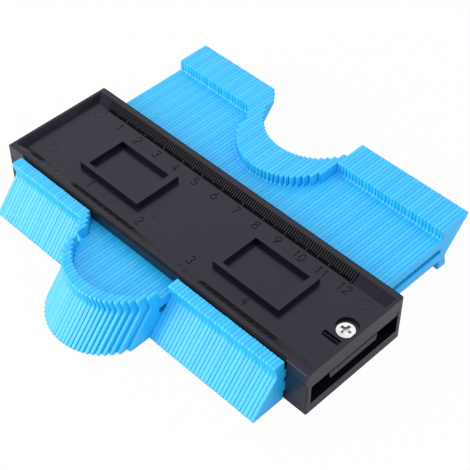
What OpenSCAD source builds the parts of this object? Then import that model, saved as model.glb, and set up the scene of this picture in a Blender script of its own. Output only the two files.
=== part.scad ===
// Contour gauge: a row of thin slats that slide between two shells and keep the shape they are pushed to.
// X runs along the row, Y is the way the slats slide and Z is up.
// The origin is the middle of the face that the gauge rests on. All sizes are in millimetres.

/* [Slat row] */
// Number of slat pairs in the row
pair_count = 43; // [20:1:54]
// Distance from one slat to the next
slat_pitch = 1.5; // [1.2:0.05:2.2]
// Gap between neighbouring slats
slat_gap = 0.1; // [0.06:0.02:0.3]
// How far a slat can slide
travel = 31.5; // [22:0.5:40]

/* [Slat shape] */
// Height of the web that runs between the shells
web_h = 10.4; // [9.4:0.2:14]
// Distance from a head's inner face to its tip
tip_reach = 13.6; // [8:0.1:18]
// Width of a head's narrow edge
foot_w = 4.7; // [4.4:0.1:6.5]
// Width of a head at its neck
neck_w = 3.1; // [2.4:0.1:4.2]
// Distance from the narrow edge to the neck
neck_h = 5.5; // [3:0.1:8]
// Thickness of a head's blunt tip
tip_t = 0.8; // [0.3:0.1:2]
// How far the heads stay inside the height of the body, above and below
head_inset = 0.4; // [0.2:0.1:1.5]

/* [Copied shape] */
// Diameter of the round shape that the row has copied
copied_d = 41; // [41:1:80]
// How deep the round shape was pushed into the row
copied_depth = 21.8; // [4:0.1:27]
// Place of the round shape along the row
copied_x = -4; // [-14:0.1:14]
// Reach of the copied arc to the left of its middle
arc_left = 19.7; // [6:0.1:20.4]
// Reach of the copied arc to the right of its middle
arc_right = 20; // [6:0.1:20.4]
// Length of row beside the arc's left end that friction dragged along
drag_l = 4.4; // [0.1:0.1:8]
// How far the first dragged slat came
drag_push = 5; // [0:0.1:6]
// How unevenly the slats stand
slat_scatter = 0.12; // [0:0.02:0.6]

/* [Shells] */
// Width of the body, along the slats
body_w = 45.2; // [38:0.2:60]
// Thickness of the base's floor
base_floor = 2; // [1.4:0.1:3]
// Depth of the recess under the base
base_recess = 2.4; // [1:0.1:4]
// Thickness of the cover's floor
cover_floor = 1.9; // [1.7:0.1:3]
// Thickness of the upright walls
wall = 2; // [1.2:0.1:2.6]
// Radius of the body's upright corners
corner_r = 0.6; // [0.4:0.1:1.4]
// Chamfer along the body's top and bottom edges
edge_chamfer = 0.2; // [0.1:0.1:0.9]
// How far the cover's lip comes down over the ends
lip_drop = 1; // [0.8:0.1:2]
// How far the cover's apron reaches into the end window below the lip
apron_drop = 2; // [1:0.1:2.4]
// How far the tongue hangs below the apron
tongue_drop = 4.5; // [2.5:0.1:4.8]
// Width of the tongue at its root
tongue_w = 23.2; // [18:0.2:34]
// Slant of the tongue's side edges
tongue_slant = 0.6; // [0.2:0.1:5]
// Thickness of the tongue
tongue_t = 1.2; // [1:0.1:2]
// How far the tongue stands back from the end face
tongue_set = 0.7; // [0.4:0.1:1]
// Height of the groove at the tongue's root
groove_h = 1.7; // [0.8:0.1:2]
// Depth of the groove at the tongue's root
groove_depth = 0.5; // [0.2:0.1:0.6]
// How far the apron stands back from the end face
apron_set = 0.2; // [0.1:0.1:0.4]

/* [Tray] */
// Depth of the tray on the cover
tray_depth = 2.5; // [1.5:0.1:3.5]
// Width of the flat rim along the tray's long sides
rim_w = 2.3; // [1:0.1:3]
// Width of the flat rim at the tray's ends
end_rim_w = 1.2; // [1:0.1:2]
// Run of the sloping scale bands along the tray's long sides
scale_run = 3.6; // [1.5:0.1:4]
// Run of the steep walls at the tray's ends
end_run = 1.1; // [0.3:0.1:2]
// Distance between the middles of the two raised frames
frame_pitch = 67.2; // [50:0.2:74]
// Length of a raised frame
frame_l = 30.2; // [20:0.2:36]
// Width of a raised frame
frame_w = 19.4; // [14:0.2:22]
// Width of a frame's end bars
frame_end_bar = 2.8; // [1:0.1:4]
// Width of a frame's side bars
frame_side_bar = 1.8; // [1:0.1:4]
// How far the frames stay below the rim
frame_drop = 0.3; // [0:0.1:0.8]

/* [Guide plate] */
// Width of the plate that passes through every slat
guide_w = 30; // [26:0.5:34]
// Thickness of the plate
guide_t = 2; // [1.4:0.1:2.6]
// Width of the tangs at the plate's ends
tang_w = 8; // [4:0.5:9]
// Distance between the two tangs of one end
tang_pitch = 20; // [17:0.5:21]

/* [Screw and hook] */
// Diameter of the screw's shank
screw_d = 3.5; // [3:0.1:4]
// Length of the screw below its head
screw_l = 10; // [6:0.5:11]
// Diameter of the screw's head
screw_head_d = 6.3; // [5.6:0.1:6.6]
// Height of the head's rim
screw_rim_t = 1.2; // [0.5:0.1:1.4]
// Height of the head's crown above its rim
screw_crown = 0.5; // [0.2:0.05:0.8]
// Width of the driver cross
cross_w = 0.9; // [0.6:0.1:1.2]
// Length of the driver cross
cross_l = 3.8; // [3:0.1:4.6]
// Depth of the driver cross
cross_depth = 0.9; // [0.5:0.1:1.1]
// Depth of the screw's seat below the tray
screw_sink = 1.1; // [0.6:0.1:1.2]
// Wall of the boss round the screw
boss_wall = 1; // [0.8:0.1:1.8]
// Distance from the row's end wall to the screw
screw_in = 3.6; // [3:0.1:3.8]
// Place of the screw across the row
screw_y = 0.7; // [-1:0.1:1]
// How far the relief beside the screw's seat lies behind the screw
relief_back = 0.7; // [0.4:0.1:1]
// How far the relief beside the screw's seat lies across from the screw
relief_across = 1.6; // [0.8:0.1:2]
// How much larger the relief is than the seat, on its radius
relief_grow = 0.4; // [0:0.1:0.6]
// Length of the moulding slot beside the screw
mould_slot_l = 7; // [4:0.5:9]
// Width of the moulding slot
mould_slot_w = 1.6; // [1:0.1:2.6]
// Depth of the moulding slot
mould_slot_depth = 1.2; // [0.4:0.1:1.2]
// Wall left between the moulding slot and the screw's seat
mould_slot_web = 0.7; // [0.3:0.1:2]
// How far the moulding slot lies behind the screw
mould_slot_back = 1.4; // [0:0.1:1.5]
// Width of the snap hook at the left end
hook_w = 10; // [6:0.5:11]
// Thickness of the snap hook
hook_t = 1.4; // [1:0.1:2]
// Reach of the catch that holds the snap hook
catch_reach = 1.1; // [0.7:0.1:1.4]
// Height of the catch
catch_h = 1.4; // [1:0.1:2]
// Free room behind the snap hook
hook_room = 1.2; // [0.6:0.1:3]

/* [Fits] */
// Gap between the webs and the shells
slide_gap = 0.3; // [0.2:0.05:0.5]
// Gap left between a head and the body at the end of its travel
stop_gap = 0.3; // [0.2:0.05:0.6]
// Gap between the guide plate and the slots
guide_gap = 0.25; // [0.15:0.05:0.4]
// Gap between the row and the walls at its ends
row_gap = 0.3; // [0.2:0.05:0.8]
// Gap between pieces that locate each other
seat_gap = 0.15; // [0.1:0.05:0.3]
// Radial gap between the screw and the boss
screw_gap = 0.05; // [0.02:0.01:0.1]
// Radial gap between the screw and the cover's hole
screw_free = 0.3; // [0.2:0.05:0.5]
// Radial gap between the screw's head and its seat
head_free = 0.35; // [0.2:0.05:0.6]

/* [Hidden] */
$fn = 64;
// How far a cutting shape runs past the face it cuts
over = 1;

// Heights, from the resting face up
floor_top = base_recess + base_floor;
web_bottom = floor_top + slide_gap;
web_top = web_bottom + web_h;
web_mid = (web_bottom + web_top) / 2;
cover_under = web_top + slide_gap;
tray_z = cover_under + cover_floor;
body_h = tray_z + tray_depth;
seam_z = cover_under - lip_drop;
apron_z = seam_z - apron_drop;
tongue_z = apron_z - tongue_drop;
head_bottom = head_inset;
head_top = body_h - head_inset;
slot_h = guide_t + 2 * guide_gap;
guide_z = web_mid - guide_t / 2;

// Sizes of the two ends, from the row outwards
boss_r = screw_d / 2 + screw_gap + boss_wall;
boss_free = 0.6;
apron_t = tongue_t + tongue_set;
left_end = row_gap + wall + catch_reach + row_gap + hook_t + hook_room + apron_t;
right_end = row_gap + screw_in + boss_r + boss_free + apron_t;

// Places along the row
slat_t = slat_pitch - slat_gap;
slat_count = 2 * pair_count;
row_l = slat_count * slat_pitch;
body_l = left_end + row_l + right_end;
row_x0 = left_end - body_l / 2;
row_x1 = row_x0 + row_l;
left_wall_x = row_x0 - row_gap - wall;
right_wall_x = row_x1 + row_gap;
screw_x = right_wall_x + screw_in;

// Places across the row
span = body_w + travel + 2 * stop_gap;
pocket_w = body_w - 2 * wall;
scatter_turn = 47.13;

// Screw heights and the slot beside it
screw_seat_z = tray_z - screw_sink;
screw_tip_z = screw_seat_z - screw_l;
boss_bore_z = screw_tip_z - seat_gap;
screw_seat_r = screw_head_d / 2 + head_free;
mould_slot_x = screw_x - mould_slot_back;
mould_slot_y = screw_y - screw_seat_r - mould_slot_web - mould_slot_w / 2;

function digits(k) = str(k < 10 ? "0" : "", k);
function pair_name(k) = str("slat_pair_", digits(k));

// Middle of slat i along the row
function slat_x(i) = row_x0 + (i - 0.5) * slat_pitch;

// Depth of the copied arc at a place on the row
function arc_push(x) =
    let (r = copied_d / 2)
    copied_depth - r + sqrt(max(0, r * r - pow(x - copied_x, 2)));

// How far the slats beside the arc were dragged along
function drag(x) = drag_push * max(0, 1 - (copied_x - arc_left - x) / drag_l);

// How far the hand left a slat from its stop
function scatter(i) = slat_scatter * abs(sin(i * i * scatter_turn));

// How far slat i stands from the stop that it rests against before use
function slat_push(i) =
    let (
        x = slat_x(i),
        in_arc = x > copied_x - arc_left && x < copied_x + arc_right,
        in_drag = x <= copied_x - arc_left,
        push = in_arc ? arc_push(x) : in_drag ? drag(x) : 0
    )
    min(travel, max(0, push) + scatter(i));

// Box between two corners
module block(low, high) {
    translate(low) cube(high - low);
}

// Rectangle with round corners
module rounded_rect(l, w, r) {
    square([l - 2 * r, w], center = true);
    square([l, w - 2 * r], center = true);
    for (x = [-1, 1], y = [-1, 1])
        translate([x * (l / 2 - r), y * (w / 2 - r)]) circle(r);
}

// Side view of the body with its edges chamfered, for one width
module chamfered_side(w) {
    c = edge_chamfer;
    polygon([
        [-w / 2 + c, 0], [w / 2 - c, 0], [w / 2, c], [w / 2, body_h - c],
        [w / 2 - c, body_h], [-w / 2 + c, body_h], [-w / 2, body_h - c], [-w / 2, c]
    ]);
}

// Extrudes a side view along the row
module along_x(l) {
    rotate([90, 0, 90]) linear_extrude(l, center = true) children();
}

// Extrudes a side view along the slats
module along_y(l) {
    rotate([90, 0, 0]) linear_extrude(l, center = true) children();
}

// Outer form of the two shells together
module body_form() {
    intersection() {
        linear_extrude(body_h) rounded_rect(body_l, body_w, corner_r);
        along_x(body_l) chamfered_side(body_w);
        along_y(body_w) chamfered_side(body_l);
    }
}

// Slice of the outer form between two heights
module body_slice(z0, z1) {
    intersection() {
        body_form();
        block([-body_l, -body_w, z0], [body_l, body_w, z1]);
    }
}

// The two ends of the body beyond the row, between two heights
module body_ends(z0, z1) {
    intersection() {
        body_form();
        union() {
            block([-body_l, -body_w, z0], [row_x0 - row_gap, body_w, z1]);
            block([row_x1 + row_gap, -body_w, z0], [body_l, body_w, z1]);
        }
    }
}

// Space behind the end windows, over a given width and height
module end_pockets(w, z0, z1) {
    block([-body_l, -w / 2, z0], [left_wall_x, w / 2, z1]);
    block([right_wall_x + wall, -w / 2, z0], [body_l, w / 2, z1]);
}

// Walls that close the row, over a given width and height
module row_walls(t, w, z0, z1) {
    for (x = [left_wall_x, right_wall_x])
        block([x + (wall - t) / 2, -w / 2, z0], [x + (wall + t) / 2, w / 2, z1]);
}

// Puts a child at each tang, on both row walls
module at_tangs() {
    for (x = [left_wall_x + wall / 2, right_wall_x + wall / 2], y = [-1, 1])
        translate([x, y * tang_pitch / 2, 0]) children();
}

// Lower shell: recessed floor, end windows, row walls, screw boss and catch
module base_shell() {
    wall_w = pocket_w - 2 * seat_gap;
    top_z = cover_under - seat_gap;
    color("#26252b") difference() {
        union() {
            difference() {
                union() {
                    body_slice(0, floor_top);
                    body_ends(floor_top, seam_z);
                }
                end_pockets(pocket_w, floor_top, body_h);
                translate([0, 0, -over])
                    linear_extrude(base_recess + over)
                        rounded_rect(body_l - 2 * wall, body_w - 2 * wall, corner_r);
            }
            row_walls(wall, wall_w, floor_top, top_z);
            screw_boss(top_z);
            hook_catch();
        }
        at_tangs() block(
            [-wall, -tang_w / 2 - seat_gap, guide_z],
            [wall, tang_w / 2 + seat_gap, body_h]
        );
        translate([screw_x, screw_y, boss_bore_z])
            cylinder(r = screw_d / 2 + screw_gap, h = body_h);
    }
}

// Post that takes the screw, kept outside the row
module screw_boss(top_z) {
    intersection() {
        translate([screw_x, screw_y, floor_top]) cylinder(r = boss_r, h = top_z - floor_top);
        block([right_wall_x, -body_w, 0], [body_l, body_w, body_h]);
    }
}

// Ledge on the left row wall that the cover's hook snaps under
module hook_catch() {
    block(
        [left_wall_x - catch_reach, -hook_w / 2, web_mid - catch_h / 2],
        [left_wall_x, hook_w / 2, web_mid + catch_h / 2]
    );
}

// Upper shell: tray with scale bands and frames, end lips, tongues, keepers and hook
module top_cover() {
    color("#35333a") difference() {
        union() {
            difference() {
                union() {
                    body_slice(cover_under, body_h);
                    body_ends(seam_z, cover_under);
                }
                tray();
                row_walls(wall + over, pocket_w, seam_z - over, cover_under);
                end_pockets(pocket_w, seam_z - over, cover_under);
            }
            for (x = [-1, 1]) translate([x * frame_pitch / 2, 0, tray_z]) raised_frame();
            for (turn = [0, 180]) rotate(turn) end_apron();
            at_tangs() keeper();
            snap_hook();
        }
        screw_seat();
        translate([mould_slot_x, mould_slot_y, tray_z])
            cube([mould_slot_l, mould_slot_w, 2 * mould_slot_depth], center = true);
    }
}

// Hollow of the tray: sloping bands on the long sides and steep walls at the ends
module tray() {
    intersection() {
        along_x(body_l) tray_side(body_w, rim_w, scale_run);
        along_y(body_w) tray_side(body_l, end_rim_w, end_run);
    }
}

// One side view of the tray's hollow
module tray_side(w, rim, run) {
    mouth = w / 2 - rim;
    slope = run / tray_depth;
    polygon([
        [-mouth + run, tray_z], [mouth - run, tray_z],
        [mouth + slope * over, body_h + over], [-mouth - slope * over, body_h + over]
    ]);
}

// Raised rectangular frame on the tray's floor
module raised_frame() {
    linear_extrude(tray_depth - frame_drop) difference() {
        square([frame_l, frame_w], center = true);
        square([frame_l - 2 * frame_end_bar, frame_w - 2 * frame_side_bar], center = true);
    }
}

// Apron that closes the top of an end window, with the tongue that hangs from it
module end_apron() {
    end_x = body_l / 2;
    half_w = pocket_w / 2 - seat_gap;
    block([end_x - apron_t, -half_w, apron_z], [end_x - apron_set, half_w, seam_z]);
    block([end_x - apron_t, -pocket_w / 2, seam_z], [end_x - corner_r, pocket_w / 2, cover_under]);
    block([end_x - apron_t, -half_w, seam_z], [end_x, half_w, cover_under]);
    difference() {
        translate([end_x - apron_t + tongue_t / 2, 0, 0]) along_x(tongue_t) polygon([
            [-tongue_w / 2, apron_z], [tongue_w / 2, apron_z],
            [tongue_w / 2 - tongue_slant, tongue_z], [-tongue_w / 2 + tongue_slant, tongue_z]
        ]);
        block(
            [end_x - tongue_set - groove_depth, -body_w, apron_z - groove_h],
            [body_l, body_w, apron_z]
        );
    }
}

// Block that fills a notch above a tang and keeps the guide plate down
module keeper() {
    block(
        [-wall / 2 + seat_gap, -tang_w / 2 + seat_gap, guide_z + guide_t],
        [wall / 2 - seat_gap, tang_w / 2 - seat_gap, cover_under]
    );
}

// Hook that snaps under the base's catch at the left end
module snap_hook() {
    face_x = left_wall_x - catch_reach - row_gap;
    barb_top = web_mid - catch_h / 2 - seat_gap;
    half_w = hook_w / 2 - seat_gap;
    block([face_x - hook_t, -half_w, barb_top - catch_h], [face_x, half_w, cover_under]);
    translate([face_x, 0, 0]) along_y(2 * half_w) polygon([
        [-hook_t / 2, barb_top], [catch_reach, barb_top],
        [row_gap, barb_top - catch_h], [-hook_t / 2, barb_top - catch_h]
    ]);
}

// Hole and seat for the screw, with a relief on the far side of the seat
module screw_seat() {
    translate([screw_x, screw_y, 0]) {
        translate([0, 0, screw_seat_z]) {
            cylinder(r = screw_seat_r, h = body_h);
            translate([-relief_back, relief_across, 0])
                cylinder(r = screw_seat_r + relief_grow, h = body_h);
        }
        cylinder(r = screw_d / 2 + screw_free, h = body_h);
    }
}

// Flat plate through the slots of all slats, held in the row walls by its tangs
module guide_plate() {
    x0 = row_x0 - row_gap + seat_gap;
    x1 = row_x1 + row_gap - seat_gap;
    color("#1c1c20") {
        block([x0, -guide_w / 2, guide_z], [x1, guide_w / 2, guide_z + guide_t]);
        for (y = [-1, 1]) translate([0, y * tang_pitch / 2, guide_z])
            block([left_wall_x, -tang_w / 2, 0], [right_wall_x + wall, tang_w / 2, guide_t]);
    }
}

// Screw with a low domed head and a cross for the driver
module tension_screw() {
    rim_r = screw_head_d / 2;
    crown_z = screw_rim_t + screw_crown;
    dome_r = (rim_r * rim_r + screw_crown * screw_crown) / (2 * screw_crown);
    color("#d8dade") translate([screw_x, screw_y, screw_seat_z]) difference() {
        union() {
            cylinder(r = rim_r, h = screw_rim_t);
            rotate_extrude() intersection() {
                translate([0, crown_z - dome_r]) circle(dome_r, $fn = 256);
                translate([0, screw_rim_t]) square([rim_r, screw_crown]);
            }
            translate([0, 0, -screw_l]) cylinder(r = screw_d / 2, h = screw_l);
        }
        for (turn = [0, 90]) rotate(turn)
            translate([-cross_l / 2, -cross_w / 2, crown_z - cross_depth])
                cube([cross_l, cross_w, cross_depth + over]);
    }
}

// Side view of a slat: two slanted heads turned half round from each other, joined by a slotted web
module slat_side() {
    half = span / 2;
    difference() {
        union() {
            translate([-half - neck_w / 2, web_bottom]) square([span + neck_w, web_h]);
            translate([half, head_bottom]) slat_head();
            translate([-half, head_top]) rotate(180) slat_head();
        }
        translate([-half, web_mid - slot_h / 2]) square([span, slot_h]);
    }
}

// Side view of a head: narrow foot, neck, slanted face and blunt tip
module slat_head() {
    head_h = head_top - head_bottom;
    polygon([
        [0, 0], [foot_w, 0], [neck_w, neck_h],
        [tip_reach, head_h - tip_t], [tip_reach, head_h], [0, head_h]
    ]);
}

// Slat i at the place where the copied shape left it
module slat(i) {
    translate([slat_x(i), travel / 2 - slat_push(i), 0]) along_x(slat_t) slat_side();
}

// Two neighbouring slats that slide together
module slat_pair(k) {
    color("#3fb2f2") for (i = [2 * k - 1, 2 * k]) slat(i);
}

base_shell();
top_cover();
guide_plate();
tension_screw();
for (k = [1 : pair_count])
    slat_pair(k);
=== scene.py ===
"""Looks of the contour gauge: finishes, moulded slats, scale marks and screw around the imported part.

X runs along the row of slats, Y along the slats and Z up. Lengths are in metres.
"""

import logging
import math
from dataclasses import dataclass
from enum import Enum

import bpy
import numpy as np
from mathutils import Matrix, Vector


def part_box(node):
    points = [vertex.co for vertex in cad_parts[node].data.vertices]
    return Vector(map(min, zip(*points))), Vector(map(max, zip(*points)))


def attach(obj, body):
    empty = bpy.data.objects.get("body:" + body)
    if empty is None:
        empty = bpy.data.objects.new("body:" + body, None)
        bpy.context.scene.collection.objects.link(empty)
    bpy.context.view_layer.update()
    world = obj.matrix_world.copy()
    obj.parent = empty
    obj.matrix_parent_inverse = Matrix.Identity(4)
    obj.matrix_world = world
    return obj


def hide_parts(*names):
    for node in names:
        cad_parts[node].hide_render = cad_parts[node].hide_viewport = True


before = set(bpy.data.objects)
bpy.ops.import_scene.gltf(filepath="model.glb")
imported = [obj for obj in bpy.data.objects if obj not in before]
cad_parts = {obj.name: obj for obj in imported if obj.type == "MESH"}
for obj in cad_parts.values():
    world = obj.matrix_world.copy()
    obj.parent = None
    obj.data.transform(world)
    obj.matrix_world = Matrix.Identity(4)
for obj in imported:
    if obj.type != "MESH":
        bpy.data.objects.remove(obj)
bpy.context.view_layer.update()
SLAT_NODES = sorted(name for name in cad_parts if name.startswith("slat_pair_"))
SCREW_NODE = "tension_screw"
COVER_NODE = "top_cover"
BASE_NODE = "base_shell"
GUIDE_NODE = "guide_plate"

LOG = logging.getLogger("contour_gauge")
MM = 1e-3
MICRON = 1e-6
INCH = 25.4 * MM

Pair = tuple[float, float]
Triple = tuple[float, float, float]
Colour = Triple

BOX_FACES = np.array([[0, 1, 3, 2], [4, 6, 7, 5], [0, 4, 5, 1], [2, 3, 7, 6], [0, 2, 6, 4], [1, 5, 7, 3]])


class Body(Enum):
    """Bodies of the part that carry new pieces."""

    SHELLS = "shells"
    SCREW = "tension_screw"


class Slot(Enum):
    """Material slots of the record."""

    SHELL = "shell_plastic"
    SLAT = "slat_plastic"
    SCREW = "screw_steel"


class Group(Enum):
    """Names of the shader node groups that several finishes share."""

    GRAIN = "moulded_grain"
    SCUFF = "fine_scuffs"


def unit(vectors: np.ndarray) -> np.ndarray:
    """Scales each row of an array to length one."""
    return vectors / np.linalg.norm(vectors, axis=-1, keepdims=True)


def rounded_outline(corners: np.ndarray, radii: np.ndarray, steps: int) -> tuple[np.ndarray, np.ndarray]:
    """Rounds every corner of a closed outline.

    At each corner the arc starts radius * tan(turn / 2) before the corner, and the vector from its
    centre is turned evenly through the corner's turn.

    Args:
        corners: Corner points in order, one row each.
        radii: Radius at each corner.
        steps: Points on each arc.

    Returns:
        The outline's points and its outward normals, for corners given anticlockwise.
    """
    before = unit(corners - np.roll(corners, 1, axis=0))
    after = unit(np.roll(corners, -1, axis=0) - corners)
    cross = before[:, 0] * after[:, 1] - before[:, 1] * after[:, 0]
    turn = np.arctan2(cross, np.sum(before * after, axis=1))
    left = np.stack([-before[:, 1], before[:, 0]], axis=1)
    inward = left * (np.sign(turn) * radii)[:, None]
    centre = corners - before * (radii * np.tan(np.abs(turn) / 2))[:, None] + inward
    angle = turn[:, None] * np.linspace(0.0, 1.0, steps)
    spin = np.stack([np.cos(angle), -np.sin(angle), np.sin(angle), np.cos(angle)], axis=-1)
    spin = spin.reshape(*angle.shape, 2, 2)
    points = centre[:, None, :] - np.einsum("knij,kj->kni", spin, inward)
    along = np.einsum("knij,kj->kni", spin, before)
    normals = np.stack([along[..., 1], -along[..., 0]], axis=-1)
    return points.reshape(-1, 2), normals.reshape(-1, 2)


def grid_faces(rows: int, columns: int, close_rows: bool, close_columns: bool) -> np.ndarray:
    """Quads between neighbouring points of a grid.

    Args:
        rows: Number of rows.
        columns: Number of columns.
        close_rows: Whether the last row joins the first.
        close_columns: Whether the last column joins the first.

    Returns:
        One row of four point numbers for each quad, columns before rows round each quad.
    """
    row = np.arange(rows if close_rows else rows - 1)[:, None]
    column = np.arange(columns if close_columns else columns - 1)[None, :]
    next_row = (row + 1) % rows
    next_column = (column + 1) % columns
    quads = [
        row * columns + column,
        row * columns + next_column,
        next_row * columns + next_column,
        next_row * columns + column,
    ]
    return np.stack(np.broadcast_arrays(*quads), axis=-1).reshape(-1, 4)


def copies(faces: np.ndarray, points_each: int, count: int) -> np.ndarray:
    """Repeats faces for equal sets of points that follow each other."""
    shift = np.arange(count)[:, None, None] * points_each
    return (faces[None, :, :] + shift).reshape(-1, faces.shape[1])


def box_faces(count: int) -> np.ndarray:
    """Faces of boxes whose corners follow each other, in twos along each of three directions."""
    return copies(BOX_FACES, BOX_FACES.max() + 1, count)


def turned(radius: np.ndarray | float, turn: np.ndarray, height: np.ndarray) -> np.ndarray:
    """Points at given distances from Z, angles about it and heights, broadcast against each other."""
    flat = radius * np.cos(turn), radius * np.sin(turn)
    return np.stack(np.broadcast_arrays(*flat, height), axis=-1)


def carry_along(profiles: np.ndarray, ends: np.ndarray) -> tuple[np.ndarray, list[np.ndarray]]:
    """Carries closed profiles straight along X.

    Each point of a profile is repeated at both ends, a grid of two rows closes round it, and the two
    ends are capped.

    Args:
        profiles: Points of each profile as (Y, Z), anticlockwise as seen from +X.
        ends: Start and end of each profile along X.

    Returns:
        Points by profile, end and place on the profile, and their faces.
    """
    count, corners = profiles.shape[:2]
    along = np.broadcast_to(ends[:, :, None, None], (count, 2, corners, 1))
    across = np.broadcast_to(profiles[:, None], (count, 2, corners, 2))
    sides = grid_faces(2, corners, close_rows=False, close_columns=True)
    caps = np.stack([np.arange(corners)[::-1], np.arange(corners) + corners])
    faces = [copies(block, 2 * corners, count) for block in (sides, caps)]
    return np.concatenate([along, across], axis=3), faces


def add_piece(
    name: str,
    points: np.ndarray,
    faces: list[np.ndarray],
    material: bpy.types.Material,
    crease: float = 30.0,
) -> bpy.types.Object:
    """Makes a mesh object at the origin from arrays of points and faces.

    Args:
        name: Name of the piece.
        points: Points, with X, Y and Z on the last axis.
        faces: Arrays of point numbers, each with faces of one size.
        material: Finish of the piece.
        crease: Angle in degrees past which an edge stays sharp.

    Returns:
        The new object, linked to the scene.
    """
    mesh = bpy.data.meshes.new(name)
    mesh.from_pydata(points.reshape(-1, 3).tolist(), [], [row for block in faces for row in block.tolist()])
    mesh.materials.append(material)
    mesh.shade_smooth()
    mesh.set_sharp_from_angle(angle=math.radians(crease))
    mesh.validate()
    piece = bpy.data.objects.new(name, mesh)
    bpy.context.scene.collection.objects.link(piece)
    LOG.info("%s: %d points, %d faces", name, len(mesh.vertices), len(mesh.polygons))
    return piece


def add_to_shells(
    name: str, points: np.ndarray, faces: list[np.ndarray], material: bpy.types.Material
) -> bpy.types.Object:
    """Makes a piece that rides on the shells.

    Args:
        name: Name of the piece.
        points: Points, with X, Y and Z on the last axis.
        faces: Arrays of point numbers, each with faces of one size.
        material: Finish of the piece.

    Returns:
        The new object, riding on the shells.
    """
    piece = add_piece(name, points, faces, material)
    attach(piece, Body.SHELLS.value)
    return piece


class NodeTools:
    """Adds and joins shader nodes in one node tree."""

    def __init__(self, tree: bpy.types.NodeTree) -> None:
        """Keeps the tree that the nodes go into."""
        self.tree = tree

    def add(self, kind: str, **values: object) -> bpy.types.Node:
        """Adds a node.

        Args:
            kind: Type of the node.
            values: Properties of the node by name.

        Returns:
            The new node.
        """
        node = self.tree.nodes.new(kind)
        for name, value in values.items():
            setattr(node, name, value)
        return node

    def join(self, start: bpy.types.NodeSocket, end: bpy.types.NodeSocket) -> None:
        """Links an output to an input."""
        self.tree.links.new(start, end)

    def place(self, group: Group, vector: bpy.types.NodeSocket) -> bpy.types.Node:
        """Places a shared node group.

        Args:
            group: Name of the group.
            vector: Socket that gives the place in its textures.

        Returns:
            The new node.
        """
        node = self.add("ShaderNodeGroup", node_tree=bpy.data.node_groups[group.value])
        self.join(vector, node.inputs["Vector"])
        return node

    def noise(self, vector: bpy.types.NodeSocket, scale: float, detail: float) -> bpy.types.Node:
        """Adds a noise texture.

        Args:
            vector: Socket that gives the place in the texture.
            scale: Scale of the noise.
            detail: How many finer layers it has.

        Returns:
            The new node.
        """
        node = self.add("ShaderNodeTexNoise")
        node.inputs["Scale"].default_value = scale
        node.inputs["Detail"].default_value = detail
        self.join(vector, node.inputs["Vector"])
        return node

    def remap(
        self, value: bpy.types.NodeSocket, onto: Pair, span: Pair = (0.0, 1.0)
    ) -> bpy.types.NodeSocket:
        """Maps a value evenly from one span onto another, and holds it at the ends.

        Args:
            value: Socket of the value.
            onto: Start and end of the result.
            span: Start and end of the value.

        Returns:
            The result's socket.
        """
        node = self.add("ShaderNodeMapRange")
        for name, number in zip(("From Min", "From Max", "To Min", "To Max"), (*span, *onto)):
            node.inputs[name].default_value = number
        self.join(value, node.inputs["Value"])
        return node.outputs["Result"]

    def larger(self, first: bpy.types.NodeSocket, second: bpy.types.NodeSocket) -> bpy.types.NodeSocket:
        """Takes the larger of two values.

        Args:
            first: Socket of one value.
            second: Socket of the other.

        Returns:
            The result's socket.
        """
        node = self.add("ShaderNodeMath", operation="MAXIMUM")
        self.join(first, node.inputs[0])
        self.join(second, node.inputs[1])
        return node.outputs["Value"]

    def mix(self, factor: bpy.types.NodeSocket, first: Colour, second: Colour) -> bpy.types.NodeSocket:
        """Mixes two colours.

        Args:
            factor: Socket of the second colour's share.
            first: Colour at a share of 0.
            second: Colour at a share of 1.

        Returns:
            The result's socket.
        """
        node = self.add("ShaderNodeMix", data_type="RGBA")
        colours = [socket for socket in node.inputs if socket.type == "RGBA"]
        colours[0].default_value = (*first, 1.0)
        colours[1].default_value = (*second, 1.0)
        self.join(factor, node.inputs["Factor"])
        return next(socket for socket in node.outputs if socket.type == "RGBA")


@dataclass
class SharedEffects:
    """Builds the node groups that several finishes place with their own values."""

    grain_scale: float = 2600.0
    grain_detail: float = 3.0
    cloud_scale: float = 55.0
    cloud_detail: float = 4.0
    scuff_scale: float = 240.0
    scuff_detail: float = 6.0
    scuff_stretch: Triple = (0.12, 1.0, 1.0)
    scuff_crests: Pair = (0.6, 0.8)

    def new_group(
        self, group: Group, outputs: tuple[str, ...]
    ) -> tuple[NodeTools, bpy.types.Node, bpy.types.Node]:
        """Starts a group with a vector input and value outputs.

        Args:
            group: Name of the group.
            outputs: Names of its outputs.

        Returns:
            Tools for the group's tree, and its input and output nodes.
        """
        tree = bpy.data.node_groups.new(group.value, "ShaderNodeTree")
        tree.interface.new_socket("Vector", in_out="INPUT", socket_type="NodeSocketVector")
        for name in outputs:
            tree.interface.new_socket(name, in_out="OUTPUT", socket_type="NodeSocketFloat")
        tools = NodeTools(tree)
        return tools, tools.add("NodeGroupInput"), tools.add("NodeGroupOutput")

    def build_grain(self) -> None:
        """Fine moulded grain for bumps, and broad clouds for slow changes of tone and gloss."""
        tools, start, end = self.new_group(Group.GRAIN, ("Height", "Cloud"))
        grain = tools.noise(start.outputs["Vector"], self.grain_scale, self.grain_detail)
        cloud = tools.noise(start.outputs["Vector"], self.cloud_scale, self.cloud_detail)
        tools.join(grain.outputs["Fac"], end.inputs["Height"])
        tools.join(cloud.outputs["Fac"], end.inputs["Cloud"])

    def build_scuffs(self) -> None:
        """Thin scuffs: noise drawn out along X and cut off so that only its crests stay."""
        tools, start, end = self.new_group(Group.SCUFF, ("Mask",))
        stretch = tools.add("ShaderNodeMapping")
        stretch.inputs["Scale"].default_value = self.scuff_stretch
        tools.join(start.outputs["Vector"], stretch.inputs["Vector"])
        streaks = tools.noise(stretch.outputs["Vector"], self.scuff_scale, self.scuff_detail)
        crests = tools.remap(streaks.outputs["Fac"], (0.0, 1.0), self.scuff_crests)
        tools.join(crests, end.inputs["Mask"])


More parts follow.
